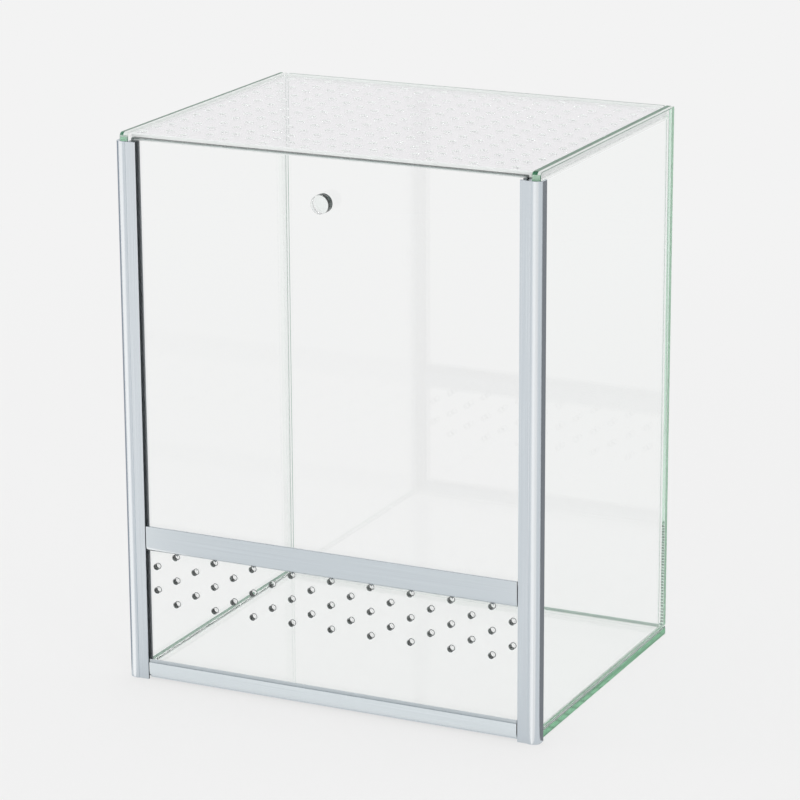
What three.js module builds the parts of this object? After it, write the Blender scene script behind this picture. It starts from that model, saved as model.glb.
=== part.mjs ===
// Drop-front glass terrarium: float-glass base, back and sides, two aluminium front rails
// with a sill and a middle bar between them, a perforated top panel, a perforated vent strip,
// and a front pane with a small knob that slides up in the rails.
// Millimetres, +Z up, front towards -Y. The origin is at the middle of the footprint, on the floor.
import * as THREE from "three";

// --- Overall sizes ---------------------------------------------------------------------------
const cabinetWidth = 198; // across the outer faces of the side panes
const cabinetHeight = 250; // from the floor to the top edges of the side panes
const sidePaneDepth = 151; // of one side pane, front edge to rear edge

// --- Sheet thicknesses -----------------------------------------------------------------------
const glass = 4; // base, back and side panes
const clearSheet = 3; // front pane and vent strip, which share the rails' groove
const panelThickness = 3; // perforated top panel
const arris = 0.5; // ground chamfer along the edges of a pane
const seam = 0.5; // silicone between two panes

// --- Front rails -----------------------------------------------------------------------------
const railWall = 1;
const cornerAcross = 4; // outer front corner of the rail, a quarter ellipse: along the front
const cornerAlong = 2.6; // and along the side
const flangeSetback = 0.4; // the flat face lies this far behind the round corner
const creaseLead = 1.1; // from the step beside the flat face to the middle of the round corner
const grooveDepth = 3.1; // how far the front and rear flanges reach over the groove
const slideClearance = 0.3; // on each face of the sheet in the groove
const edgeClearance = 0.5; // beside the edge of the sheet in the groove
const paneFit = 0.4; // between the side pane and each wall of its channel
const bondClearance = 0.2; // between the side pane's corner and the round channel wall

// --- Sill and middle bar ---------------------------------------------------------------------
const barEndGap = 0.4; // from the end of a bar to the rail's flange
const sillHeight = 8.2;
const sillFloor = 2.8; // under the groove of the sill
const sillRadius = 4; // lower front corner of the sill
const middleBarBottom = 61; // height of its lower edge above the floor
const middleBarHeight = 11.5;
const middleBarRadius = 3; // lower front corner of the middle bar
const middleBarSocket = 4.5; // depth of the groove that takes the vent strip
const middleBarWeb = 1.5; // between the two grooves
const middleBarRearLip = 2.5; // rear lip behind the front pane
const stripBed = 0.4; // silicone under and over the vent strip

// --- Front pane and knob ---------------------------------------------------------------------
const doorRestGap = 0.3; // between the front pane and the web that it rests on
const doorTopDrop = 1.9; // its top edge below the tops of the side panes
const knobDiameter = 8.4;
const knobLength = 4.4;
const knobEdge = 0.5; // chamfer round the knob's front
const knobDrop = 20; // from the top of the front pane to the middle of the knob
const knobBond = 0.2; // adhesive film behind the knob
const knobBondInset = 0.3; // the film stays this far inside the knob's rim

// --- Top panel -------------------------------------------------------------------------------
const panelDrop = 0.5; // its top face below the tops of the side panes
const panelHole = 3; // diameter
const panelPitch = 11.3; // between neighbouring holes
const panelSideMargin = 6; // least, from an outer hole to the panel's side edge
const panelRearMargin = 6.6; // from the last hole to the panel's rear edge
const panelFrontMargin = 4.7; // least, from the first hole to the panel's front edge
const fieldBreak = 17.2; // the holes nearer the front edge than this are drilled as a second field
const fieldShiftX = -3.3; // by which the second field is off the first
const fieldShiftY = 3.9;

// --- Vent strip ------------------------------------------------------------------------------
const stripHole = 2.6; // diameter
const stripPitch = 11.1; // between neighbouring holes
const stripSideMargin = 3; // least, from an outer hole to the rail's flange
const stripTopMargin = 1.9; // from the top row to the middle bar's lower edge
const stripRows = 5;
const stripShift = 0.7; // from the middle of the strip to the middle of its holes, to the right

// --- Roundness -------------------------------------------------------------------------------
const holeSides = 8;
const knobSides = 32;
const cornerSteps = 8; // segments in a quarter turn

// --- Places worked out from the sizes --------------------------------------------------------
const halfWidth = cabinetWidth / 2;
const paneInner = halfWidth - glass;

const railOuter = halfWidth + paneFit + railWall;
const webOuter = paneInner - paneFit;
const webInner = webOuter - railWall;
const flangeEdge = webInner - grooveDepth;
const cornerX = railOuter - cornerAcross;
const cornerY = cornerAlong;
const channelAcross = cornerAcross - railWall;
const channelAlong = cornerAlong - railWall;
const grooveFront = flangeSetback + railWall;
const grooveBack = grooveFront + clearSheet + 2 * slideClearance;
const railDepth = grooveBack + railWall;

// The side pane goes into its channel until its outer corner nears the round wall.
const cornerShare = (halfWidth - cornerX) / (channelAcross - bondClearance);
const cornerReach = (channelAlong - bondClearance) * Math.sqrt(1 - cornerShare ** 2);
const paneFront = cornerY - cornerReach;
const paneBack = paneFront + sidePaneDepth;
const backInner = paneBack - glass;

const baseFront = railDepth + seam;
const paneBottom = glass + seam;
const panelTop = cabinetHeight - panelDrop;
const railTop = panelTop - panelThickness;

const sheetFront = grooveFront + slideClearance;
const sheetBack = sheetFront + clearSheet;
const sheetHalf = webInner - edgeClearance;
const barHalf = flangeEdge - barEndGap;

const socketTop = middleBarBottom + middleBarSocket;
const doorSeat = socketTop + middleBarWeb;
const doorBottom = doorSeat + doorRestGap;
const doorTop = cabinetHeight - doorTopDrop;
const knobHeight = doorTop - knobDrop;
const knobBack = sheetFront - knobBond;
const knobFront = knobBack - knobLength;

const middleY = (knobFront + paneBack) / 2;

// --- Materials -------------------------------------------------------------------------------
const floatGlass = new THREE.MeshStandardMaterial({
  color: 0xcfe6dc,
  roughness: 0.04,
  metalness: 0,
  transparent: true,
  opacity: 0.3,
});
const clearPlastic = new THREE.MeshStandardMaterial({
  color: 0xe9eef0,
  roughness: 0.06,
  metalness: 0,
  transparent: true,
  opacity: 0.3,
});
const knobPlastic = new THREE.MeshStandardMaterial({
  color: 0xdfe6e6,
  roughness: 0.05,
  metalness: 0,
  transparent: true,
  opacity: 0.6,
});
const anodised = new THREE.MeshStandardMaterial({
  color: 0xcdd4d9,
  roughness: 0.34,
  metalness: 1,
});
const silicone = new THREE.MeshStandardMaterial({
  color: 0xe2e8e6,
  roughness: 0.45,
  metalness: 0,
  transparent: true,
  opacity: 0.5,
});

// --- Helpers ---------------------------------------------------------------------------------
const axisX = new THREE.Vector3(1, 0, 0);
const axisY = new THREE.Vector3(0, 1, 0);
const axisZ = new THREE.Vector3(0, 0, 1);

// A shape drawn in x and z, with its thickness along y.
const facingFront = new THREE.Matrix4().makeBasis(axisX, axisZ, axisY.clone().negate());
// A shape drawn in y and z, with its thickness along x.
const facingSide = new THREE.Matrix4().makeBasis(axisY, axisZ, axisX);

function rectangle(x0, y0, x1, y1) {
  const shape = new THREE.Shape();
  shape.moveTo(x0, y0);
  shape.lineTo(x1, y0);
  shape.lineTo(x1, y1);
  shape.lineTo(x0, y1);
  shape.closePath();
  return shape;
}

// Points along an arc, from angle a0 to angle a1 in radians, or along an ellipse's.
function arc(cx, cy, radius, a0, a1, radiusY = radius) {
  const steps = Math.max(2, Math.ceil((Math.abs(a1 - a0) / (Math.PI / 2)) * cornerSteps));
  const points = [];
  for (let i = 0; i <= steps; i++) {
    const a = a0 + ((a1 - a0) * i) / steps;
    points.push(new THREE.Vector2(cx + radius * Math.cos(a), cy + radiusY * Math.sin(a)));
  }
  return points;
}

function extrude(shape, depth) {
  return new THREE.ExtrudeGeometry(shape, { depth, bevelEnabled: false });
}

// A pane of width by height with its edges ground to a chamfer, centred on the origin.
function paneGeometry(width, height, thickness) {
  const outline = rectangle(-width / 2, -height / 2, width / 2, height / 2);
  const geometry = new THREE.ExtrudeGeometry(outline, {
    depth: thickness - 2 * arris,
    bevelThickness: arris,
    bevelSize: arris,
    bevelOffset: -arris,
    bevelSegments: 1,
  });
  return geometry.translate(0, 0, arris - thickness / 2);
}

function piece(name, geometry, material, x, y, z) {
  const mesh = new THREE.Mesh(geometry, material);
  mesh.name = name;
  mesh.position.set(x, y, z);
  return mesh;
}

// A plain block between two corners.
function block(name, material, x0, y0, z0, x1, y1, z1) {
  const geometry = new THREE.BoxGeometry(x1 - x0, y1 - y0, z1 - z0);
  return piece(name, geometry, material, (x0 + x1) / 2, (y0 + y1) / 2, (z0 + z1) / 2);
}

function drill(shape, x, y, diameter) {
  const points = [];
  for (let i = 0; i < holeSides; i++) {
    const a = (2 * Math.PI * (i + 0.5)) / holeSides;
    points.push(
      new THREE.Vector2(x + (diameter / 2) * Math.cos(a), y + (diameter / 2) * Math.sin(a)),
    );
  }
  shape.holes.push(new THREE.Path(points));
}

// The columns of a pattern in which every hole is one pitch from its six neighbours.
function columnPlaces(pitch, halfSpan) {
  const step = pitch * Math.cos(Math.PI / 6);
  const intervals = Math.floor((2 * halfSpan) / step);
  return Array.from({ length: intervals + 1 }, (_, i) => (i - intervals / 2) * step);
}

// --- Glass panes -----------------------------------------------------------------------------
function basePane() {
  const depth = paneBack - baseFront;
  const geometry = paneGeometry(cabinetWidth, depth, glass);
  return piece("base_pane", geometry, floatGlass, 0, baseFront + depth / 2, glass / 2);
}

function backPane() {
  const height = cabinetHeight - paneBottom;
  const geometry = paneGeometry(2 * (paneInner - seam), height, glass);
  geometry.applyMatrix4(facingFront);
  return piece(
    "back_pane",
    geometry,
    floatGlass,
    0,
    backInner + glass / 2,
    paneBottom + height / 2,
  );
}

function sidePane(name, side) {
  const height = cabinetHeight - paneBottom;
  const geometry = paneGeometry(sidePaneDepth, height, glass);
  geometry.applyMatrix4(facingSide);
  return piece(
    name,
    geometry,
    floatGlass,
    side * (halfWidth - glass / 2),
    paneFront + sidePaneDepth / 2,
    paneBottom + height / 2,
  );
}

// --- Perforated top panel --------------------------------------------------------------------
function topPanel() {
  const half = paneInner - seam;
  const front = grooveBack;
  const back = backInner - seam;
  const shape = rectangle(-half, front, half, back);
  columnPlaces(panelPitch, half - panelSideMargin).forEach((x, column) => {
    const first = back - panelRearMargin - ((column % 2) * panelPitch) / 2;
    for (let y = first; ; y -= panelPitch) {
      const second = y < front + fieldBreak;
      const holeX = second ? x + fieldShiftX : x;
      const holeY = second ? y + fieldShiftY : y;
      if (holeY < front + panelFrontMargin) break;
      drill(shape, holeX, holeY, panelHole);
    }
  });
  return piece("top_panel", extrude(shape, panelThickness), clearPlastic, 0, 0, railTop);
}

// --- Aluminium rails -------------------------------------------------------------------------
// The section, seen from above: a groove for the front pane between two flanges,
// and behind the round corner a channel that holds the front edge of the side pane.
function railShape(side) {
  const creaseAngle = -Math.PI / 2 - Math.asin(creaseLead / cornerAcross);
  const points = [
    new THREE.Vector2(flangeEdge, flangeSetback),
    new THREE.Vector2(cornerX - creaseLead, flangeSetback),
    ...arc(cornerX, cornerY, cornerAcross, creaseAngle, 0, cornerAlong),
    new THREE.Vector2(railOuter, railDepth),
    new THREE.Vector2(railOuter - railWall, railDepth),
    ...arc(cornerX, cornerY, channelAcross, 0, -Math.PI / 2, channelAlong),
    new THREE.Vector2(webOuter, railWall),
    new THREE.Vector2(webOuter, railDepth),
    new THREE.Vector2(flangeEdge, railDepth),
    new THREE.Vector2(flangeEdge, grooveBack),
    new THREE.Vector2(webInner, grooveBack),
    new THREE.Vector2(webInner, grooveFront),
    new THREE.Vector2(flangeEdge, grooveFront),
  ];
  return new THREE.Shape(points.map((p) => new THREE.Vector2(side * p.x, p.y)));
}

function rail(name, side) {
  return piece(name, extrude(railShape(side), railTop), anodised, 0, 0, 0);
}

// --- Aluminium bars --------------------------------------------------------------------------
function bar(name, shape) {
  const geometry = extrude(shape, 2 * barHalf).translate(0, 0, -barHalf);
  return piece(name, geometry.applyMatrix4(facingSide), anodised, 0, 0, 0);
}

// The sill is a channel, open upwards, with a round lower front corner.
function sill() {
  const points = [
    new THREE.Vector2(flangeSetback, sillHeight),
    ...arc(flangeSetback + sillRadius, sillRadius, sillRadius, Math.PI, 1.5 * Math.PI),
    new THREE.Vector2(railDepth, 0),
    new THREE.Vector2(railDepth, sillHeight),
    new THREE.Vector2(grooveBack, sillHeight),
    new THREE.Vector2(grooveBack, sillFloor),
    new THREE.Vector2(grooveFront, sillFloor),
    new THREE.Vector2(grooveFront, sillHeight),
  ];
  return bar("bottom_bar", new THREE.Shape(points));
}

// The middle bar has a groove below for the vent strip and a seat above for the front pane.
function middleBar() {
  const lipAngle = Math.acos((middleBarRadius - railWall) / middleBarRadius);
  const arcHeight = middleBarBottom + middleBarRadius * Math.sin(lipAngle);
  const frontX = flangeSetback + middleBarRadius;
  const points = [
    new THREE.Vector2(flangeSetback, middleBarBottom + middleBarHeight),
    ...arc(frontX, arcHeight, middleBarRadius, Math.PI, Math.PI + lipAngle),
    new THREE.Vector2(grooveFront, socketTop),
    new THREE.Vector2(grooveBack, socketTop),
    new THREE.Vector2(grooveBack, middleBarBottom),
    new THREE.Vector2(railDepth, middleBarBottom),
    new THREE.Vector2(railDepth, doorSeat + middleBarRearLip),
    new THREE.Vector2(grooveBack, doorSeat + middleBarRearLip),
    new THREE.Vector2(grooveBack, doorSeat),
    new THREE.Vector2(grooveFront, doorSeat),
    new THREE.Vector2(grooveFront, middleBarBottom + middleBarHeight),
  ];
  return bar("middle_bar", new THREE.Shape(points));
}

// --- Perforated vent strip -------------------------------------------------------------------
function ventStrip() {
  const bottom = sillFloor + stripBed;
  const top = socketTop - stripBed;
  const shape = rectangle(-sheetHalf, bottom, sheetHalf, top);
  const columns = columnPlaces(stripPitch, flangeEdge - stripSideMargin);
  for (let row = 0; row < stripRows; row++) {
    const z = middleBarBottom - stripTopMargin - (row * stripPitch) / 2;
    columns.forEach((x, column) => {
      if ((column + row) % 2 === 1) drill(shape, x + stripShift, z, stripHole);
    });
  }
  const geometry = extrude(shape, clearSheet).applyMatrix4(facingFront);
  return piece("vent_strip", geometry, clearPlastic, 0, sheetBack, 0);
}

// --- Silicone --------------------------------------------------------------------------------
function paneSeams() {
  const seamInner = paneInner - seam;
  const seams = [
    block("seam_base_back", silicone, -paneInner, backInner, glass, paneInner, paneBack, paneBottom),
    block("seam_top_back", silicone, -seamInner, backInner - seam, railTop, seamInner, backInner, panelTop),
    block("seam_base_front", silicone, -barHalf, railDepth, arris, barHalf, baseFront, glass - arris),
  ];
  for (const [word, side] of [
    ["left", -1],
    ["right", 1],
  ]) {
    const [inner, outer] = [side * seamInner, side * paneInner].sort((a, b) => a - b);
    const [low, high] = [side * paneInner, side * halfWidth].sort((a, b) => a - b);
    seams.push(
      block("seam_base_" + word, silicone, low, baseFront, glass, high, paneBack, paneBottom),
      block("seam_back_" + word, silicone, inner, backInner, paneBottom, outer, paneBack, cabinetHeight),
      block("seam_top_" + word, silicone, inner, grooveBack, railTop, outer, backInner, panelTop),
    );
  }
  return seams;
}

// Silicone in the rail's channel, in front of the side pane's edge.
function railBond(name, side) {
  const across = channelAcross - bondClearance / 2;
  const along = channelAlong - bondClearance / 2;
  const endAngle = Math.asin((paneFront - cornerY) / along);
  const points = [
    new THREE.Vector2(webOuter, cornerY - along),
    ...arc(cornerX, cornerY, across, -Math.PI / 2, endAngle, along),
    new THREE.Vector2(webOuter, paneFront),
  ];
  const shape = new THREE.Shape(points.map((p) => new THREE.Vector2(side * p.x, p.y)));
  return piece(name, extrude(shape, railTop - paneBottom), silicone, 0, 0, paneBottom);
}

function stripBeds() {
  const lower = sillFloor + stripBed;
  const upper = socketTop - stripBed;
  return [
    block("strip_bed_lower", silicone, -barHalf, sheetFront, sillFloor, barHalf, sheetBack, lower),
    block("strip_bed_upper", silicone, -barHalf, sheetFront, upper, barHalf, sheetBack, socketTop),
  ];
}

// --- Front pane and knob ---------------------------------------------------------------------
function doorPane() {
  const height = doorTop - doorBottom;
  const geometry = paneGeometry(2 * sheetHalf, height, clearSheet).applyMatrix4(facingFront);
  return piece(
    "door_pane",
    geometry,
    clearPlastic,
    0,
    sheetFront + clearSheet / 2,
    doorBottom + height / 2,
  );
}

function doorKnob() {
  const radius = knobDiameter / 2;
  const profile = [
    new THREE.Vector2(0, 0),
    new THREE.Vector2(radius - knobEdge, 0),
    new THREE.Vector2(radius, knobEdge),
    new THREE.Vector2(radius, knobLength),
    new THREE.Vector2(0, knobLength),
  ];
  const geometry = new THREE.LatheGeometry(profile, knobSides);
  return piece("door_knob", geometry, knobPlastic, 0, knobFront, knobHeight);
}

function knobFilm() {
  const radius = knobDiameter / 2 - knobBondInset;
  const geometry = new THREE.CylinderGeometry(radius, radius, knobBond, knobSides);
  return piece("knob_bond", geometry, silicone, 0, knobBack + knobBond / 2, knobHeight);
}

// --- Assembly --------------------------------------------------------------------------------
const cabinet = new THREE.Group();
cabinet.add(
  basePane(),
  backPane(),
  sidePane("left_side_pane", -1),
  sidePane("right_side_pane", 1),
  topPanel(),
  rail("left_rail", -1),
  rail("right_rail", 1),
  sill(),
  middleBar(),
  ventStrip(),
  railBond("rail_bond_left", -1),
  railBond("rail_bond_right", 1),
  ...stripBeds(),
  ...paneSeams(),
);

const door = new THREE.Group();
door.add(doorPane(), doorKnob(), knobFilm());

cabinet.position.y = -middleY;
door.position.y = -middleY;

const terrarium = new THREE.Group();
terrarium.add(cabinet, door);

export default terrarium;
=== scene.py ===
# %% [markdown]
# # A small glass terrarium
#
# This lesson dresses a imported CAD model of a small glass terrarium. The real one is 20 cm wide, 15 cm
# deep and 25 cm high: four panes of glass and a drilled clear lid, bonded with clear silicone, two
# aluminium rails at the front, and a clear front pane that slides up in the rails. It is nearly all
# see-through, so most of the work is in the glass: thin lines of colour along the edges tell the eye
# that it's there.

import math

import bmesh
import bpy
from mathutils import Matrix, Vector


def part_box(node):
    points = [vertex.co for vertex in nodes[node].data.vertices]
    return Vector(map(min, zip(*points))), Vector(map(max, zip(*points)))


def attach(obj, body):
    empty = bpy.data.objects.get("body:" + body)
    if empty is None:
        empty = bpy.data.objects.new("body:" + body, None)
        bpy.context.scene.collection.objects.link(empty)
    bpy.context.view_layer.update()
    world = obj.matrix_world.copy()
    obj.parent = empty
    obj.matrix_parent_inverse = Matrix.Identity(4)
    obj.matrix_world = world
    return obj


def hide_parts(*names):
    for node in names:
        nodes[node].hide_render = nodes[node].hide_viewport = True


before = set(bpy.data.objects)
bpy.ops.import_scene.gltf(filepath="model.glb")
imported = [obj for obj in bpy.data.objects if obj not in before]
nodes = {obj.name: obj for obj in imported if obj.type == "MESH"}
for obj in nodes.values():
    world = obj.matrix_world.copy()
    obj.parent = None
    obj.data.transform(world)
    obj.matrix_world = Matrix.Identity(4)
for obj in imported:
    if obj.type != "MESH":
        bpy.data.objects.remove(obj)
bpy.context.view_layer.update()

# %% [markdown]
# ## Helpers
#
# Dimensions are easier to read in millimetres and colours in hex, but Blender works in metres and in
# linear light. Two small functions translate. A third adds a shader node, sets its values and draws
# its links, so that a material reads from top to bottom.

# %% Millimetres, colours and shader nodes
MM = 0.001


def linear(hex_colour):
    """An sRGB colour such as "#CDD4D9" as linear red, green, blue and alpha."""
    parts = [int(hex_colour[i : i + 2], 16) / 255 for i in (1, 3, 5)]
    return [c / 12.92 if c <= 0.04045 else ((c + 0.055) / 1.055) ** 2.4 for c in parts] + [1.0]


def add(tree, kind, values=(), links=(), **settings):
    """Adds a node. values sets inputs by name or number, links feeds inputs from other nodes' outputs."""
    node = tree.nodes.new("ShaderNode" + kind)
    for key, value in settings.items():
        setattr(node, key, value)
    for key, value in dict(values).items():
        node.inputs[key].default_value = value
    for key, output in dict(links).items():
        tree.links.new(output, node.inputs[key])
    return node


def start_material(name):
    material = bpy.data.materials.new(name)
    material.use_nodes = True
    material.node_tree.nodes.clear()
    return material, material.node_tree


# %% [markdown]
# ## Mesh helpers
#
# Every piece is a mesh in the model's own frame. The first function turns a bmesh, which is Blender's
# mesh for editing, into an object with a material. The second finishes a piece: it hangs the object on
# its body and says which CAD nodes it stands for.

# %% From a bmesh to a piece
def make_object(name, bm, material):
    mesh = bpy.data.meshes.new(name)
    bm.to_mesh(mesh)
    bm.free()
    mesh.materials.append(material)
    made = bpy.data.objects.new(name, mesh)
    bpy.context.scene.collection.objects.link(made)
    return made


def finish_piece(name, bm, material, body, replaced, sharp_degrees):
    """Edges that turn by more than sharp_degrees stay sharp, and bm says which faces are smooth."""
    bmesh.ops.recalc_face_normals(bm, faces=bm.faces)
    smooth = [face.smooth for face in bm.faces]
    piece = make_object(name, bm, material)
    piece.data.set_sharp_from_angle(angle=math.radians(sharp_degrees))
    piece.data.polygons.foreach_set("use_smooth", smooth)
    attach(piece, body)
    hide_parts(*replaced)
    print(name, "has", len(piece.data.polygons), "faces and stands for", ", ".join(replaced))


# %% [markdown]
# ## Camera
#
# The photograph was taken with a long lens from the right of the front and from a little above. The
# angles, the distance and the lens come from a fit to the cabinet's edges in the photograph.

# %% Camera
azimuth, elevation, roll = (math.radians(a) for a in (25.628, 16.169, -0.299))
back = Vector(
    (
        math.sin(azimuth) * math.cos(elevation),
        -math.cos(azimuth) * math.cos(elevation),
        math.sin(elevation),
    )
)
side = Vector((0, 0, 1)).cross(back).normalized()
over = back.cross(side)
across = side * math.cos(roll) + over * math.sin(roll)
upward = over * math.cos(roll) - side * math.sin(roll)

camera_data = bpy.data.cameras.new("camera")
camera_data.lens = 156.29
camera_data.sensor_width = 36
camera_data.clip_end = 50
camera = bpy.data.objects.new("camera", camera_data)
camera_place = (0.64697, -1.34895, 0.55589)
camera_axes = Matrix((across, upward, back)).transposed().to_4x4()
camera.matrix_world = Matrix.Translation(camera_place) @ camera_axes
bpy.context.scene.collection.objects.link(camera)
bpy.context.scene.camera = camera
print("camera looks along", [round(c, 3) for c in -back])

# %% [markdown]
# ## Float glass and cast acrylic
#
# Float glass is made by floating molten glass on tin, so both faces are as flat and bright as a
# mirror. A trace of iron tints it: 4 mm is clear to look through, but looking in at an edge the eye
# looks through centimetres of it and sees green. The cut edges are ground, which leaves them whitish
# and partly matt. Cast acrylic is the same kind of sheet with a little less refraction and hardly any
# tint, so one function makes both.
#
# Mesh attributes, which are numbers stored on each face, tell the material what a face is. Where
# silicone bonds two pieces, light goes straight on from one into the other. Lamps and diffuse light
# pass straight through every face, which stands in for the caustics that real glass throws.

# %% Light through clear pieces
def pass_light(tree, surface, soft_tint):
    """Faces whose attribute bonded is 1 are clear, and so is every face for lamps and diffuse light."""
    bonded = add(tree, "Attribute", attribute_name="bonded")
    joined = add(tree, "BsdfTransparent", {"Color": (0.99, 0.99, 0.99, 1)})
    faced = add(
        tree,
        "MixShader",
        {},
        {0: bonded.outputs["Fac"], 1: surface.outputs[0], 2: joined.outputs[0]},
    )
    path = add(tree, "LightPath")
    soft_ray = add(
        tree,
        "Math",
        {},
        {0: path.outputs["Is Shadow Ray"], 1: path.outputs["Is Diffuse Ray"]},
        operation="MAXIMUM",
    )
    through = add(tree, "BsdfTransparent", {"Color": soft_tint})
    return add(
        tree,
        "MixShader",
        {},
        {0: soft_ray.outputs[0], 1: faced.outputs[0], 2: through.outputs[0]},
    )


# %% Clear sheets
def clear_sheet(
    name, ior, edge_colour, arris_colour, arris_roughness, tint, tint_per_metre, face_colour, frost_colour
):
    """A polished sheet. The attribute edge_kind runs from 0 on a flat face over 0.5 on a cut edge to 1
    on a ground arris, and the colour and the roughness follow it. The attribute matt is the share of a
    face that is ground to frost, which has frost_colour on a cut edge and is white elsewhere."""
    material, tree = start_material(name)
    matt = add(tree, "Attribute", attribute_name="matt").outputs["Fac"]
    edge = add(tree, "Attribute", attribute_name="edge_kind").outputs["Fac"]
    # A belt's grit leaves marks of about a tenth of a millimetre. They are drawn ten times as coarse.
    grit = add(tree, "TexNoise", {"Scale": 900.0, "Detail": 2.0})
    colour = add(tree, "ValToRGB", {}, {"Fac": edge})
    colour.color_ramp.elements[0].color = linear(face_colour)
    colour.color_ramp.elements[1].color = linear(arris_colour)
    colour.color_ramp.elements.new(0.5).color = linear(edge_colour)
    gritty = add(
        tree,
        "MapRange",
        {
            "From Min": 0.3,
            "From Max": 0.7,
            "To Min": 0.8 * arris_roughness,
            "To Max": 1.2 * arris_roughness,
        },
        {"Value": grit.outputs["Fac"]},
    )
    ground = add(tree, "MapRange", {"From Min": 0.5}, {"Value": edge})
    roughness = add(
        tree,
        "Math",
        {},
        {0: ground.outputs["Result"], 1: gritty.outputs["Result"]},
        operation="MULTIPLY",
    )
    clearness = add(
        tree, "MapRange", {"To Min": 1.0, "To Max": 0.75}, {"Value": ground.outputs["Result"]}
    )
    sheet = add(
        tree,
        "BsdfPrincipled",
        {"IOR": ior},
        {
            "Base Color": colour.outputs["Color"],
            "Roughness": roughness.outputs[0],
            "Transmission Weight": clearness.outputs["Result"],
        },
    )
    frosted = add(tree, "ValToRGB", {}, {"Fac": edge})
    frosted.color_ramp.elements.new(0.5).color = linear(frost_colour)
    for end in (0, 2):
        frosted.color_ramp.elements[end].color = linear("#FCFEFD")
    frost = add(
        tree,
        "BsdfPrincipled",
        {"IOR": ior, "Roughness": 0.55, "Transmission Weight": 0.2},
        {"Base Color": frosted.outputs["Color"]},
    )
    faced = add(tree, "MixShader", {}, {0: matt, 1: sheet.outputs[0], 2: frost.outputs[0]})
    shown = pass_light(tree, faced, (0.96, 0.97, 0.965, 1))
    inside = add(tree, "VolumeAbsorption", {"Color": linear(tint), "Density": tint_per_metre})
    add(tree, "OutputMaterial", {}, {"Surface": shown.outputs[0], "Volume": inside.outputs[0]})
    print(name, "made, index of refraction", ior)
    return material


# The float glass's dark green arris colour is the glass's own green, with painted shade that darkens it.
float_glass = clear_sheet(
    "float_glass", 1.52, "#B4E2C4", "#3C7058", 0.3, "#98F0C4", 2.2, "#FFFFFF", "#6FB588"
)
# The acrylic's dark grey edge colour is painted shade: it draws the dark line along the front pane's top
# edge and the dark crescents in the strip's holes.
acrylic = clear_sheet(
    "clear_cast_acrylic", 1.49, "#525B59", "#8A9694", 0.2, "#E6F2EE", 1.0, "#FFFFFF", "#E6EEEC"
)
lid_acrylic = clear_sheet(
    "lid_cast_acrylic", 1.49, "#E6EEEC", "#A4B2AF", 0.2, "#E6F2EE", 1.0, "#F5F3F6", "#E6EEEC"
)
# The knob's near-black edge colour is painted shade on its side.
knob_acrylic = clear_sheet(
    "polished_acrylic", 1.49, "#1C2624", "#8C9896", 0.1, "#E6F2EE", 1.0, "#FFFFFF", "#E6EEEC"
)

# %% [markdown]
# ## Anodised aluminium
#
# The rails and bars are extruded and then anodised in their natural colour: a satin grey with a
# faint blue. The die leaves fine lines along each bar. They are far finer than a pixel here, so they
# are drawn about a third of a millimetre apart, wide enough to show as a soft grain. The rails, the
# middle bar and the sill are one metal, but each turns another way to the light and was matched to
# the photograph one by one, so each has its own pair of colours, which paint in the light it catches.
# Little light reaches into the grooves, so there the attribute groove paints shade: it makes the
# metal darker, and less glossy.

# %% Anodised aluminium
def anodised(name, along, dull_colour, bright_colour):
    """along is the axis that the bar was extruded on: 0 for X and 2 for Z."""
    material, tree = start_material(name)
    place = add(tree, "TexCoord")
    # Per metre: the lines are a third of a millimetre apart, and each runs on for some 8 cm.
    stretch = [3000.0, 3000.0, 3000.0]
    stretch[along] = 12.0
    lines = add(tree, "Mapping", {"Scale": stretch}, {"Vector": place.outputs["Object"]})
    grain = add(tree, "TexNoise", {"Scale": 1.0, "Detail": 3.0}, {"Vector": lines.outputs[0]})
    tone = add(tree, "ValToRGB", {}, {"Fac": grain.outputs["Fac"]})
    tone.color_ramp.elements[0].position = 0.3
    tone.color_ramp.elements[0].color = linear(dull_colour)
    tone.color_ramp.elements[1].position = 0.7
    tone.color_ramp.elements[1].color = linear(bright_colour)
    satin = add(
        tree,
        "MapRange",
        {"From Min": 0.3, "From Max": 0.7, "To Min": 0.2, "To Max": 0.26},
        {"Value": grain.outputs["Fac"]},
    )
    bump = add(
        tree,
        "Bump",
        {"Strength": 0.03, "Distance": 0.0001},
        {"Height": grain.outputs["Fac"]},
    )
    # The attribute groove paints shade: it mixes the metal towards a dark grey, and above 0.05 it makes
    # it rough.
    groove = add(tree, "Attribute", attribute_name="groove")
    shade = add(tree, "Mix", {"B": linear("#4E5458")}, {"A": tone.outputs["Color"]}, data_type="RGBA")
    tree.links.new(groove.outputs["Fac"], shade.inputs["Factor"])
    sunk = add(tree, "Math", {1: 0.05}, {0: groove.outputs["Fac"]}, operation="GREATER_THAN")
    roughness = add(
        tree,
        "MapRange",
        {"To Max": 0.7},
        {"Value": sunk.outputs[0], "To Min": satin.outputs["Result"]},
    )
    metal = add(
        tree,
        "BsdfPrincipled",
        {"Metallic": 1.0},
        {
            "Base Color": shade.outputs[2],
            "Roughness": roughness.outputs["Result"],
            "Normal": bump.outputs[0],
        },
    )
    add(tree, "OutputMaterial", {}, {"Surface": metal.outputs[0]})
    print(name, "made")
    return material


# Three copies of one metal, each with colours that paint in the light its part catches; the sill's are
# the lightest.
rail_aluminium = anodised("anodised_aluminium_rails", 2, "#C8D0D7", "#D1D9DF")
bar_aluminium = anodised("anodised_aluminium_middle_bar", 0, "#CCD4DA", "#D5DDE2")
sill_aluminium = anodised("anodised_aluminium_sill", 0, "#DFE7EB", "#E8EFF3")

# %% [markdown]
# ## Clear silicone
#
# The panes are bonded with clear silicone rubber. It cures to a soft, slightly milky solid with a
# skin that is less glossy than glass. The finger that smooths it leaves waves a few millimetres long.

# %% Clear silicone
WAVE = 2.5 * MM
SKIN_ROUGHNESS = 0.08

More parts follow.
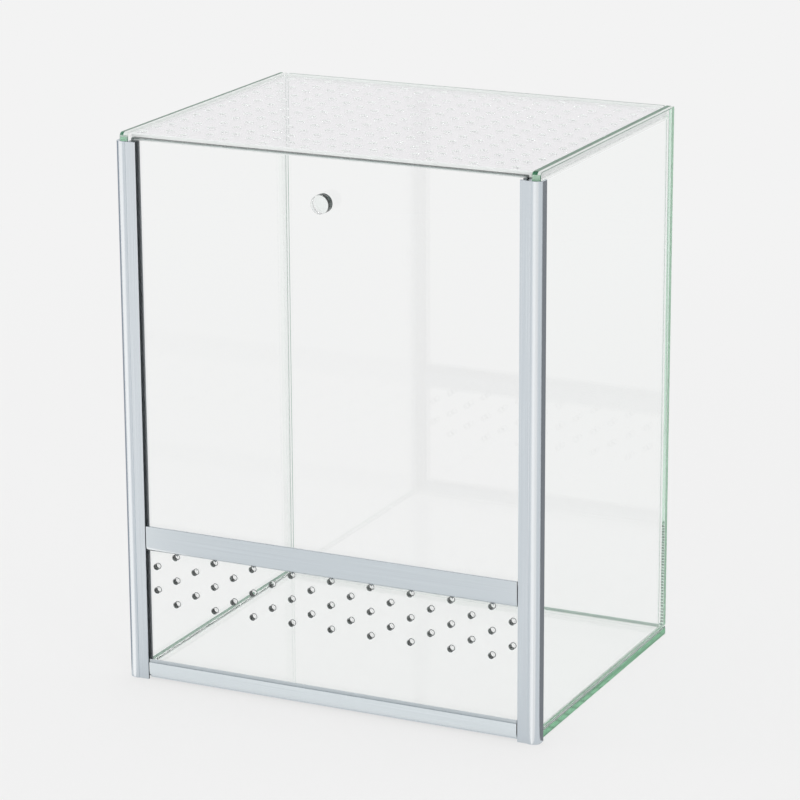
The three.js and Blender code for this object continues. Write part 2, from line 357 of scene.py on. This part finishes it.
silicone, tree = start_material("clear_silicone")
wave = add(tree, "TexNoise", {"Scale": 1 / WAVE, "Detail": 2.0})
uneven = add(
    tree,
    "MapRange",
    {
        "From Min": 0.3,
        "From Max": 0.7,
        "To Min": 0.85 * SKIN_ROUGHNESS,
        "To Max": 1.15 * SKIN_ROUGHNESS,
    },
    {"Value": wave.outputs["Fac"]},
)
rubber = add(
    tree,
    "BsdfPrincipled",
    {"IOR": 1.41, "Base Color": linear("#F8FBFA"), "Transmission Weight": 0.99},
    {"Roughness": uneven.outputs["Result"]},
)
shown = pass_light(tree, rubber, (0.93, 0.93, 0.93, 1))
add(tree, "OutputMaterial", {}, {"Surface": shown.outputs[0]})
print("clear_silicone made")

# %% [markdown]
# ## Glass panes
#
# A cutter scores and snaps each pane from a big sheet, and then runs its sharp edges over a wet belt.
# So a pane is a flat block whose edges are rounded by half a millimetre, and the side panes have their
# top front corner rounded by 2 mm. Starting from a block and bevelling its edges gives just that.
#
# Then every face gets its marks. The flat faces stay polished, the cut ends are partly matt, and what
# lies in a joint is bonded. The arrises are dark green: the glass's own green, darkened by painted
# shade. A cut along the top edge of an upright pane parts its near side, which is matt and white,
# from its far side, which is painted that dark green.

# %% Panes with ground edges
ARRIS = 0.5 * MM
TOP_CORNER = 2 * MM


def cut_through(bm, place, normal):
    """Cuts every face that crosses a plane in two and takes nothing away."""
    parts = bm.verts[:] + bm.edges[:] + bm.faces[:]
    bmesh.ops.bisect_plane(bm, geom=parts, plane_co=place, plane_no=normal)


def pane(name, thickness_axis, material, body, bond_side=0, bond_from=None):
    """thickness_axis is 0 for X, 1 for Y and 2 for Z. A side pane's bond_side is the side, -1 or 1, of
    the face that is bonded beyond the distance bond_from along Y."""
    low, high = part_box(name)
    left_pane, right_pane = bond_side > 0, bond_side < 0
    upright = material == float_glass and thickness_axis != 2
    bm = bmesh.new()
    bmesh.ops.create_cube(bm, size=1.0)
    for vertex in bm.verts:
        for i in range(3):
            vertex.co[i] = high[i] if vertex.co[i] > 0 else low[i]
    if thickness_axis == 0:
        corner = [e for e in bm.edges if all(v.co.y == low.y and v.co.z == high.z for v in e.verts)]
        bmesh.ops.bevel(bm, geom=corner, offset=TOP_CORNER, segments=4, profile=0.5, affect="EDGES")
    sharp = [e for e in bm.edges if e.calc_face_angle(0) > math.radians(30)]
    bmesh.ops.bevel(bm, geom=sharp, offset=ARRIS, segments=3, profile=0.5, affect="EDGES")
    if thickness_axis == 0:
        line = low.x + (2.6 * MM if right_pane else 1.9 * MM)
    else:
        line = high.y - 1.2 * MM
    if upright:
        normal = (1 - thickness_axis, thickness_axis, 0)
        cut_through(bm, [line * c for c in normal], normal)
    if bond_from:
        cut_through(bm, (0, bond_from, 0), (0, 1, 0))
    bm.normal_update()
    kind = bm.faces.layers.float.new("edge_kind")
    matt = bm.faces.layers.float.new("matt")
    bonded = bm.faces.layers.float.new("bonded")
    for face in bm.faces:
        # The flat faces stay flat, so that they mirror and refract as a plane does.
        face.smooth = max(abs(c) for c in face.normal) < 0.995
        if face.smooth:
            face[kind] = 1.0
        elif abs(face.normal[thickness_axis]) < 0.5:
            face[kind] = 0.5
        centre = face.calc_center_median()
        x, y, z = face.normal
        if upright and z > (0.3 if right_pane else 0.1):
            # The top edge: painted dark green on its far side, the glass's green with painted shade, and
            # matt on its near side.
            far = centre.x < line if thickness_axis == 0 else centre.y > line
            face[kind] = 1.0
            face[matt] = 0.0 if far else 0.9
        if bond_side and abs(x) < 0.5 and z < 0.3:
            # The ends and the foot of a side pane.
            face[matt] = 0.45
        if right_pane and z < -0.1:
            # The right pane's foot stays clear, like the flat faces beside it.
            face[kind] = 0.0
            face[matt] = 0.0
        if right_pane and y < -0.9:
            # Its front end, in the rail.
            face[kind] = 0.2
            face[matt] = 0.6
        if right_pane and y > 0.3:
            # Its rear end, which faces away from the eye and shows green through the pane.
            face[kind] = 0.5
            face[matt] = 0.8
        if left_pane and y > 0.3 and z < 0.3:
            # The left pane's rear end stays clear.
            face[kind] = 0.0
            face[matt] = 0.0
        if bond_side and x * bond_side > 0.9 and centre.y > bond_from:
            face[bonded] = 1.0
        if name == "back_pane" and abs(x) > 0.3:
            face[kind] = 0.0
            face[bonded] = 1.0
        if name == "base_pane" and x > 0.9:
            face[matt] = 0.5
    finish_piece(name + "_glass", bm, material, body, [name], 15)


inner_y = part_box("back_pane")[0].y
pane("base_pane", 2, float_glass, "cabinet")
pane("back_pane", 1, float_glass, "cabinet")
pane("left_side_pane", 0, float_glass, "cabinet", 1, inner_y)
pane("right_side_pane", 0, float_glass, "cabinet", -1, inner_y)
# The front pane's cut edges take the acrylic's dark grey colour, which is painted shade.
pane("door_pane", 1, acrylic, "door")

# %% [markdown]
# ## Drilled panels
#
# The lid and the strip under the front pane let air through. Their holes stand in staggered rows, each
# hole one pitch from its six neighbours. The lid's are 3 mm wide with a half-millimetre countersink,
# left matt by the tool, and the strip's are 2.6 mm wide with the edge just broken. A flat curve with
# one closed line for the sheet and one for each hole can be filled, thickened and bevelled in one go,
# and then turned into a mesh.

# %% A sheet with holes
HOLE_CORNERS = 20


def drilled_sheet(
    name, outline, holes, thickness, to_row_frame, material, chamfer, wall_kind, matt_rims
):
    """outline is two opposite corners and each hole is (x, y, radius), all drawn flat. to_row_frame
    lays the sheet in its place. wall_kind is the edge_kind of the walls and chamfers, and matt_rims is
    how matt the chamfers and the sheet's own edges are."""
    curve = bpy.data.curves.new(name, "CURVE")
    curve.dimensions = "2D"
    curve.fill_mode = "BOTH"
    curve.extrude = thickness / 2 - chamfer
    curve.bevel_depth = chamfer
    curve.bevel_resolution = 0
    curve.offset = -chamfer
    (x0, y0), (x1, y1) = outline
    loops = [[(x0, y0), (x1, y0), (x1, y1), (x0, y1)]]
    turn = [2 * math.pi * k / HOLE_CORNERS for k in range(HOLE_CORNERS)]
    for x, y, radius in holes:
        loops.append([(x + radius * math.cos(a), y - radius * math.sin(a)) for a in turn])
    for loop in loops:
        spline = curve.splines.new("POLY")
        spline.points.add(len(loop) - 1)
        for point, (x, y) in zip(spline.points, loop):
            point.co = (x, y, 0, 1)
        spline.use_cyclic_u = True
    drawn = bpy.data.objects.new(name + "_drawing", curve)
    bpy.context.scene.collection.objects.link(drawn)
    bpy.context.view_layer.update()
    depsgraph = bpy.context.evaluated_depsgraph_get()
    filled = bpy.data.meshes.new_from_object(drawn.evaluated_get(depsgraph))
    bpy.data.objects.remove(drawn)
    bm = bmesh.new()
    bm.from_mesh(filled)
    bpy.data.meshes.remove(filled)
    bmesh.ops.remove_doubles(bm, verts=bm.verts, dist=0.01 * MM)
    bm.normal_update()
    kind = bm.faces.layers.float.new("edge_kind")
    matt = bm.faces.layers.float.new("matt")
    for face in bm.faces:
        face.smooth = abs(face.normal.z) < 0.99
        centre = face.calc_center_median()
        inside = x0 + MM < centre.x < x1 - MM and y0 + MM < centre.y < y1 - MM
        if face.smooth:
            face[kind] = wall_kind
            face[matt] = matt_rims * (not inside or abs(face.normal.z) > 0.3)
    bm.transform(to_row_frame)
    finish_piece(name + "_sheet", bm, material, "cabinet", [name], 40)


def columns(pitch, half_span):
    """The places of a staggered pattern's columns, as many as fit, about the middle."""
    step = pitch * math.cos(math.pi / 6)
    intervals = math.floor(2 * half_span / step)
    return [(i - intervals / 2) * step for i in range(intervals + 1)]


# %% Top panel
low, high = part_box("top_panel")
pitch = 11.3 * MM
hole_radius = 1.5 * MM
side_margin, rear_margin, front_margin = 6 * MM, 6.6 * MM, 4.7 * MM
# In front of this line the holes are a field of their own, which is shifted to the left and the rear.
second_field_from = low.y + 17.2 * MM
shift_left, shift_back = 3.3 * MM, 3.9 * MM

lid_holes = []
for number, x in enumerate(columns(pitch, high.x - side_margin)):
    y = high.y - rear_margin - (number % 2) * pitch / 2
    while True:
        second_field = y < second_field_from
        hole_x = x - shift_left if second_field else x
        hole_y = y + shift_back if second_field else y
        if hole_y < low.y + front_margin:
            break
        lid_holes.append((hole_x, hole_y, hole_radius))
        y -= pitch
drilled_sheet(
    "top_panel",
    ((low.x, low.y), (high.x, high.y)),
    lid_holes,
    high.z - low.z,
    Matrix.Translation((0, 0, (low.z + high.z) / 2)),
    lid_acrylic,
    0.5 * MM,
    0.0,
    1.0,
)
print("holes in the lid:", len(lid_holes))

# %% Vent strip
low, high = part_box("vent_strip")
bar_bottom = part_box("middle_bar")[0].z
pitch = 11.1 * MM
hole_radius = 1.3 * MM
rows = 5
first_row = bar_bottom - 1.9 * MM
shift_right = 0.7 * MM
strip_columns = columns(pitch, 87.5 * MM)
strip_holes = [
    (x + shift_right, first_row - row * pitch / 2, hole_radius)
    for row in range(rows)
    for number, x in enumerate(strip_columns)
    if (number + row) % 2 == 1
]
# The strip's hole walls take the acrylic's dark grey edge colour, which is painted shade in the holes.
drilled_sheet(
    "vent_strip",
    ((low.x, low.z), (high.x, high.z)),
    strip_holes,
    high.y - low.y,
    Matrix.Translation((0, (low.y + high.y) / 2, 0)) @ Matrix.Rotation(math.pi / 2, 4, "X"),
    acrylic,
    0.2 * MM,
    0.5,
    0.0,
)
print("holes in the strip:", len(strip_holes), "in", len(strip_columns), "columns")

# %% [markdown]
# ## Rails and bars
#
# The extrusions keep the shape that the CAD model gives them. A saw and a quick pass with a file
# leave their edges a little soft, so each gets a copy of its CAD mesh with every sharp edge broken by
# a tenth or two of a millimetre. The light then catches the edges, as it does on the real bars. The
# sill's front lip also gets its step: the inner half of the lip is drawn up by 1.5 mm.

# %% Bars with softened edges
rail_low, rail_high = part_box("right_rail")
front_plane = rail_low.y
sill_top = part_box("bottom_bar")[1].z


def softened(node, width, material, groove_shade, ridge=0.0):
    """The third argument gives the painted shade at a place on the bar, from 0 on its outside to 1. ridge
    is the height of the step on the inner half of its front lip."""
    bm = bmesh.new()
    bm.from_mesh(nodes[node].data)
    bmesh.ops.remove_doubles(bm, verts=bm.verts, dist=0.001 * MM)
    bmesh.ops.dissolve_limit(bm, angle_limit=math.radians(0.5), verts=bm.verts, edges=bm.edges)
    if ridge:
        step = front_plane + 0.8 * MM
        cut_through(bm, (0, step, 0), (0, 1, 0))
        bm.normal_update()
        top = max(vertex.co.z for vertex in bm.verts)
        lip = []
        for face in bm.faces:
            centre = face.calc_center_median()
            if centre.z > top - 0.1 * MM and step < centre.y < step + MM and face.normal.z > 0.9:
                lip.append(face)
        raised = bmesh.ops.extrude_face_region(bm, geom=lip)["geom"]
        corners = [part for part in raised if isinstance(part, bmesh.types.BMVert)]
        bmesh.ops.translate(bm, vec=(0, 0, ridge), verts=corners)
        print("faces raised on the lip:", len(lip))
    sharp = [e for e in bm.edges if e.calc_face_angle(0) > math.radians(25)]
    bmesh.ops.bevel(
        bm, geom=sharp, offset=width, segments=2, profile=0.5, affect="EDGES", clamp_overlap=True
    )
    bm.normal_update()
    groove = bm.faces.layers.float.new("groove")
    for face in bm.faces:
        # Broad faces are flat. The narrow strips are the steps of a rounding.
        longest = max(edge.calc_length() for edge in face.edges)
        face.smooth = face.calc_area() / longest < 1.1 * MM
        face[groove] = groove_shade(face.calc_center_median())
    finish_piece(node + "_bar", bm, material, "cabinet", [node], 20)


def rail_groove_shade(place):
    """Painted shade behind the front flange, on the strip beside the opening, darkest at the groove's
    mouth.
    """
    depth = place.y - front_plane
    if abs(place.x) > rail_low.x + 3.6 * MM or depth < 0.6 * MM:
        return 0.0
    return 1.0 if depth < 1.3 * MM else 0.55


def bar_groove_shade(place):
    """Painted shade: the sill's step and the inside of its channel are only a little darker than the
    front.
    """
    depth = place.y - front_plane
    if sill_top < place.z < sill_top + 1.4 * MM and depth > 0.7 * MM:
        return 0.15
    return 0.08 if depth > 1.3 * MM else 0.0


for rail in ("left_rail", "right_rail"):
    softened(rail, 0.15 * MM, rail_aluminium, rail_groove_shade)
softened("middle_bar", 0.15 * MM, bar_aluminium, bar_groove_shade)
softened("bottom_bar", 0.1 * MM, sill_aluminium, bar_groove_shade, 1.5 * MM)

# %% [markdown]
# ## Knob
#
# The knob is a short cylinder turned from clear acrylic rod and polished, held by a film of clear
# adhesive. Its side looks dark, because inside it the light bounces round and never comes back to
# the eye, and its front looks bright. The dark is painted shade: the side faces get a near-black
# colour. A turned part is a profile swept round an axis.

# %% Turned pieces
def turned(name, node, profile, material, steps=64):
    """profile holds (radius, y) points. The piece is turned about the axis of node along Y."""
    low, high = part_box(node)
    middle_x, middle_z = (low.x + high.x) / 2, (low.z + high.z) / 2
    turn = [2 * math.pi * k / steps for k in range(steps)]
    bm = bmesh.new()
    kind = bm.faces.layers.float.new("edge_kind")
    rings = []
    for radius, y in profile:
        if radius == 0:
            rings.append([bm.verts.new((middle_x, y, middle_z))])
            continue
        ring = [(middle_x + radius * math.cos(a), y, middle_z + radius * math.sin(a)) for a in turn]
        rings.append([bm.verts.new(place) for place in ring])
    for a, b in zip(rings, rings[1:]):
        for k in range(steps):
            corners = [a[k % len(a)], a[(k + 1) % len(a)], b[(k + 1) % len(b)], b[k % len(b)]]
            face = bm.faces.new(list(dict.fromkeys(corners)))
            face.normal_update()
            face.smooth = abs(face.normal.y) < 0.995
            # Side faces count as cut edges. On the knob they take a near-black colour, which is painted
            # shade.
            face[kind] = 0.5 * (abs(face.normal.y) < 0.3)
    finish_piece(name, bm, material, "door", [node], 30)


low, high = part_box("door_knob")
radius, rim = (high.x - low.x) / 2, 0.35 * MM
rounding = [
    (radius - rim + rim * math.sin(a), low.y + rim - rim * math.cos(a))
    for a in [math.pi / 2 * k / 5 for k in range(6)]
]
turned(
    "turned_knob",
    "door_knob",
    [(0, low.y), *rounding, (radius, high.y - 0.1 * MM), (radius - 0.1 * MM, high.y), (0, high.y)],
    knob_acrylic,
)
low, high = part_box("knob_bond")
radius, clearance = (high.x - low.x) / 2, 0.02 * MM
front_y, rear_y = low.y + clearance, high.y - clearance
turned(
    "knob_adhesive",
    "knob_bond",
    [(0, front_y), (radius, front_y), (radius, rear_y), (0, rear_y)],
    silicone,
)

# %% [markdown]
# ## Silicone beads
#
# A bead of silicone fills each joint between two panes, and a finger drawn along the inside leaves a
# hollow fillet. So the section of a bead is the strip in the joint with a small concave triangle
# beside it, drawn out along the joint. Each bead stays a few hundredths of a millimetre off the
# glass, so that no two faces fall on each other. Its flat faces that lie against glass are bonded,
# and those that look out of the joint stay glossy.

# %% Beads
skin = 0.03 * MM
leg = 1.6 * MM
base_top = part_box("base_pane")[1].z
inner_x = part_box("right_side_pane")[0].x
rear_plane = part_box("back_pane")[1].y
lid_low, lid_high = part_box("top_panel")


def fillet(corner, first, second, size=leg, steps=6):
    """Points of a hollow quarter from corner + first * size to corner + second * size."""
    centre = (corner[0] + (first[0] + second[0]) * size, corner[1] + (first[1] + second[1]) * size)
    points = []
    for k in range(steps + 1):
        a = math.pi / 2 * k / steps
        points.append(
            tuple(centre[i] - (second[i] * math.cos(a) + first[i] * math.sin(a)) * size for i in (0, 1))
        )
    return points


def bead(name, replaced, section, axis, start, end):
    """section is a closed line across the joint, drawn on the two axes other than axis."""
    across_axes = [i for i in range(3) if i != axis]
    bm = bmesh.new()
    ends = []
    for place in (start, end):
        ring = []
        for point in section:
            co = [0.0, 0.0, 0.0]
            co[axis] = place
            co[across_axes[0]], co[across_axes[1]] = point
            ring.append(bm.verts.new(co))
        ends.append(ring)
    bm.faces.new(ends[0])
    bm.faces.new(list(reversed(ends[1])))
    count = len(section)
    for k in range(count):
        bm.faces.new([ends[0][k], ends[0][(k + 1) % count], ends[1][(k + 1) % count], ends[1][k]])
    bmesh.ops.triangulate(bm, faces=[f for f in bm.faces if len(f.verts) > 4])
    bonded = bm.faces.layers.float.new("bonded")
    bm.normal_update()
    for face in bm.faces:
        face.smooth = True
        centre = face.calc_center_median()
        outside = (
            abs(centre.x) > inner_x + MM
            or centre.y > rear_plane - 0.2 * MM
            or centre.z > lid_high.z - 0.2 * MM
        )
        if max(abs(c) for c in face.normal) > 0.999 and not outside:
            face[bonded] = 1.0
    finish_piece(name, bm, silicone, "cabinet", replaced, 30)


def box_section(node, axis):
    low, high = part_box(node)
    a, b = [i for i in range(3) if i != axis]
    return [
        (low[a] + skin, low[b] + skin),
        (high[a] - skin, low[b] + skin),
        (high[a] - skin, high[b] - skin),
        (low[a] + skin, high[b] - skin),
    ]


for word, sign in (("left", -1), ("right", 1)):
    # Under the side pane, with its fillet inside the cabinet.
    low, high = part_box("seam_base_" + word)
    outer = high.x - skin if sign > 0 else low.x + skin
    seam_top = high.z - skin
    wall = sign * (inner_x - skin)
    section = [
        (outer, base_top + skin),
        *fillet((wall, base_top + skin), (-sign, 0), (0, 1)),
        (wall, seam_top),
        (outer, seam_top),
    ]
    bead("bead_base_" + word, ["seam_base_" + word], section, 1, low.y, inner_y - skin)
    # Between the back pane and the side pane.
    low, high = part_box("seam_back_" + word)
    gap = sign * (inner_x - (high.x - low.x) + skin)
    section = [
        (wall, high.y - skin),
        (gap, high.y - skin),
        (gap, inner_y - skin),
        *fillet((wall, inner_y - skin), (-sign, 0), (0, -1)),
    ]
    bead("bead_back_" + word, ["seam_back_" + word], section, 2, low.z + leg, lid_low.z - skin)
    # Along the side of the lid, with its fillet underneath.
    low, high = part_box("seam_top_" + word)
    section = [
        (wall, lid_high.z - skin),
        (gap, lid_high.z - skin),
        (gap, lid_low.z - skin),
        *fillet((wall, lid_low.z - skin), (-sign, 0), (0, -1)),
    ]
    bead("bead_top_" + word, ["seam_top_" + word], section, 1, low.y, inner_y - skin)

low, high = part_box("seam_base_back")
section = [
    (high.y - skin, base_top + skin),
    *fillet((inner_y - skin, base_top + skin), (-1, 0), (0, 1)),
    (inner_y - skin, high.z - skin),
    (high.y - skin, high.z - skin),
]
bead("bead_base_back", ["seam_base_back"], section, 0, -inner_x + leg + skin, inner_x - leg - skin)

low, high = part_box("seam_top_back")
section = [
    (inner_y - skin, lid_high.z - skin),
    (low.y + skin, lid_high.z - skin),
    (low.y + skin, lid_low.z - skin),
    *fillet((inner_y - skin, lid_low.z - skin), (-1, 0), (0, -1)),
]
bead("bead_top_back", ["seam_top_back"], section, 0, -inner_x + leg + skin, inner_x - leg - skin)

# %% Hidden bonds of the rails, the sill and the strip
for node in ("seam_base_front", "strip_bed_lower", "strip_bed_upper"):
    low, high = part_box(node)
    bead(node + "_bead", [node], box_section(node, 0), 0, low.x + skin, high.x - skin)
# A rail bond fills its channel. It is drawn 3 % smaller, to keep its faces off the rail's.
RAIL_BOND_SCALE = 0.97
for node in ("rail_bond_left", "rail_bond_right"):
    bm = bmesh.new()
    bm.from_mesh(nodes[node].data)
    bmesh.ops.remove_doubles(bm, verts=bm.verts, dist=0.001 * MM)
    low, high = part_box(node)
    middle = (low + high) / 2
    for vertex in bm.verts:
        vertex.co = middle + (vertex.co - middle) * RAIL_BOND_SCALE
    finish_piece(node + "_bead", bm, silicone, "cabinet", [node], 30)

# %% [markdown]
# ## Floor and light
#
# The cabinet stands on a plain pale floor that runs into a background of the same grey. The floor
# fades from a matt surface, which shows the cabinet's soft shadow, to the plain grey of the
# background, so no horizon shows from any side.

# %% Floor
BACKGROUND = linear("#F3F3F3")
FLOOR_RADIUS = 1.3

floor_material, tree = start_material("matt_studio_floor")
place = add(tree, "TexCoord")
distance = add(tree, "VectorMath", {}, {0: place.outputs["Object"]}, operation="LENGTH")
fade = add(
    tree,
    "MapRange",
    {"From Min": 0.2, "From Max": 0.9, "To Min": 0.8, "To Max": 1.0},
    {"Value": distance.outputs["Value"]},
    interpolation_type="SMOOTHSTEP",
)
matt = add(tree, "BsdfDiffuse", {"Color": BACKGROUND})
glow = add(tree, "Emission", {"Color": BACKGROUND, "Strength": 1.0})
mixed = add(tree, "MixShader", {}, {0: fade.outputs[0], 1: matt.outputs[0], 2: glow.outputs[0]})
add(tree, "OutputMaterial", {}, {"Surface": mixed.outputs[0]})

bm = bmesh.new()
bmesh.ops.create_circle(bm, cap_ends=True, segments=96, radius=FLOOR_RADIUS)
floor = make_object("floor", bm, floor_material)
floor.location.z = -0.2 * MM
print("floor radius", FLOOR_RADIUS, "m")

# %% [markdown]
# The light is soft and plain: a grey-white surround, a big soft box over the cabinet, and one tall
# soft box on each side of the front. Reflections and glass don't see the boxes themselves, which
# would show as hard white patches in the panes.

# %% Surround
world = bpy.data.worlds.new("studio")
bpy.context.scene.world = world
world.use_nodes = True
tree = world.node_tree
tree.nodes.clear()
path = add(tree, "LightPath")
seen = add(
    tree,
    "Math",
    {},
    {0: path.outputs["Is Camera Ray"], 1: path.outputs["Is Glossy Ray"]},
    operation="MAXIMUM",
)
seen = add(
    tree,
    "Math",
    {},
    {0: seen.outputs[0], 1: path.outputs["Is Transmission Ray"]},
    operation="MAXIMUM",
)
# Glass and metal see the pale surround up to a third of the way to the zenith, and a dim room above it.
direction = add(tree, "TexCoord")
height = add(tree, "SeparateXYZ", {}, {0: direction.outputs["Generated"]})
dim = add(
    tree,
    "MapRange",
    {"From Min": 0.5, "From Max": 0.7, "To Min": 0.0, "To Max": 1.0},
    {"Value": height.outputs["Z"]},
    interpolation_type="SMOOTHSTEP",
)
bounced = add(
    tree,
    "Math",
    {},
    {0: dim.outputs[0], 1: path.outputs["Is Camera Ray"]},
    operation="SUBTRACT",
    use_clamp=True,
)
surround = add(tree, "Mix", {"A": BACKGROUND, "B": linear("#50555A")}, data_type="RGBA")
tree.links.new(bounced.outputs[0], surround.inputs["Factor"])
shown = add(tree, "Background", {"Strength": 1.0}, {"Color": surround.outputs[2]})
light = add(tree, "Background", {"Color": (1, 1, 1, 1), "Strength": 0.6})
mixed = add(
    tree, "MixShader", {}, {0: seen.outputs[0], 1: light.outputs[0], 2: shown.outputs[0]}
)
add(tree, "OutputWorld", {}, {"Surface": mixed.outputs[0]})
print("surround made")


# %% Soft boxes
def soft_box(name, location, target, width, height, power):
    lamp = bpy.data.lights.new(name, "AREA")
    lamp.shape = "RECTANGLE"
    lamp.size, lamp.size_y = width, height
    lamp.energy = power
    box = bpy.data.objects.new(name, lamp)
    box.location = location
    direction = Vector(target) - Vector(location)
    box.rotation_euler = direction.to_track_quat("-Z", "Y").to_euler()
    box.visible_glossy = box.visible_transmission = False
    bpy.context.scene.collection.objects.link(box)
    print(name, "at", location)


soft_box("overhead_box", (-0.2, 0.1, 1.6), (0, 0, 0.1), 1.6, 1.6, 9)
soft_box("right_box", (1.2, -1.1, 0.5), (0, 0, 0.12), 0.5, 1.0, 4)
soft_box("left_box", (-1.4, -0.5, 0.5), (0, 0, 0.12), 0.6, 1.0, 4)

# %% [markdown]
# Metal shows what stands round it. As a photographer would, the scene lays cards on the floor round
# the cabinet, which only soft reflections, such as those in satin metal, see. White and pale ones in
# front make the bright lines on the rails' round corners, and grey ones beside and behind the cabinet
# make the darker outer sides of the rails.

# %% Cards
def card(name, hex_colour, strength, origin, from_degrees, to_degrees, reach=2.2, steps=8):
    """A fan-shaped card on the floor. Its angles turn from straight ahead of the cabinet to its right."""
    paper, tree = start_material(name + "_paper")
    glow = add(tree, "Emission", {"Color": linear(hex_colour), "Strength": strength})
    # A ray that polished glass mirrors or lets through looks past the card, to the floor under it.
    path = add(tree, "LightPath")
    glass = add(
        tree,
        "Math",
        {},
        {0: path.outputs["Is Singular Ray"], 1: path.outputs["Transmission Depth"]},
        operation="MAXIMUM",
        use_clamp=True,
    )
    unseen = add(tree, "BsdfTransparent")
    mixed = add(tree, "MixShader", {}, {0: glass.outputs[0], 1: glow.outputs[0], 2: unseen.outputs[0]})
    add(tree, "OutputMaterial", {}, {"Surface": mixed.outputs[0]})
    bm = bmesh.new()
    points = [origin]
    for k in range(steps + 1):
        a = math.radians(from_degrees + (to_degrees - from_degrees) * k / steps)
        points.append((origin[0] + reach * math.sin(a), origin[1] - reach * math.cos(a)))
    bm.faces.new([bm.verts.new((x, y, 0.1 * MM)) for x, y in points])
    piece = make_object(name, bm, paper)
    piece.visible_camera = piece.visible_diffuse = piece.visible_transmission = False
    piece.visible_shadow = False
    print(name, "laid")


corner_radius = 3 * MM
right_corner = (rail_high.x - corner_radius, rail_low.y)
left_corner = (-rail_high.x + corner_radius, rail_low.y)
card("white_card_right", "#FFF9F4", 1.42, right_corner, -19, 6)
card("pale_card_right", "#FFF9F4", 1.2, right_corner, 6, 31)
card("grey_card_right", "#8E8E90", 1.0, (rail_high.x, rail_high.y), 100, 185)
card("white_card_left", "#FFF9F4", 1.42, left_corner, -76, -32)
card("grey_card_left", "#A8ADB5", 1.0, (-rail_high.x, rail_high.y), -180, -76)

# %% [markdown]
# ## Look of the picture
#
# Light can be caught in a pane and thrown back and forth between its faces some forty times before it
# leaves. A path that runs out of bounces turns black and draws a dark line along the pane's edge, so
# the paths get enough bounces to follow the light out.

# %% View settings and light paths
scene = bpy.context.scene
scene.view_settings.view_transform = "Standard"
scene.cycles.max_bounces = 64
scene.cycles.glossy_bounces = 56
scene.cycles.transmission_bounces = 24
scene.cycles.transparent_max_bounces = 32
scene.cycles.caustics_reflective = False
scene.cycles.caustics_refractive = False
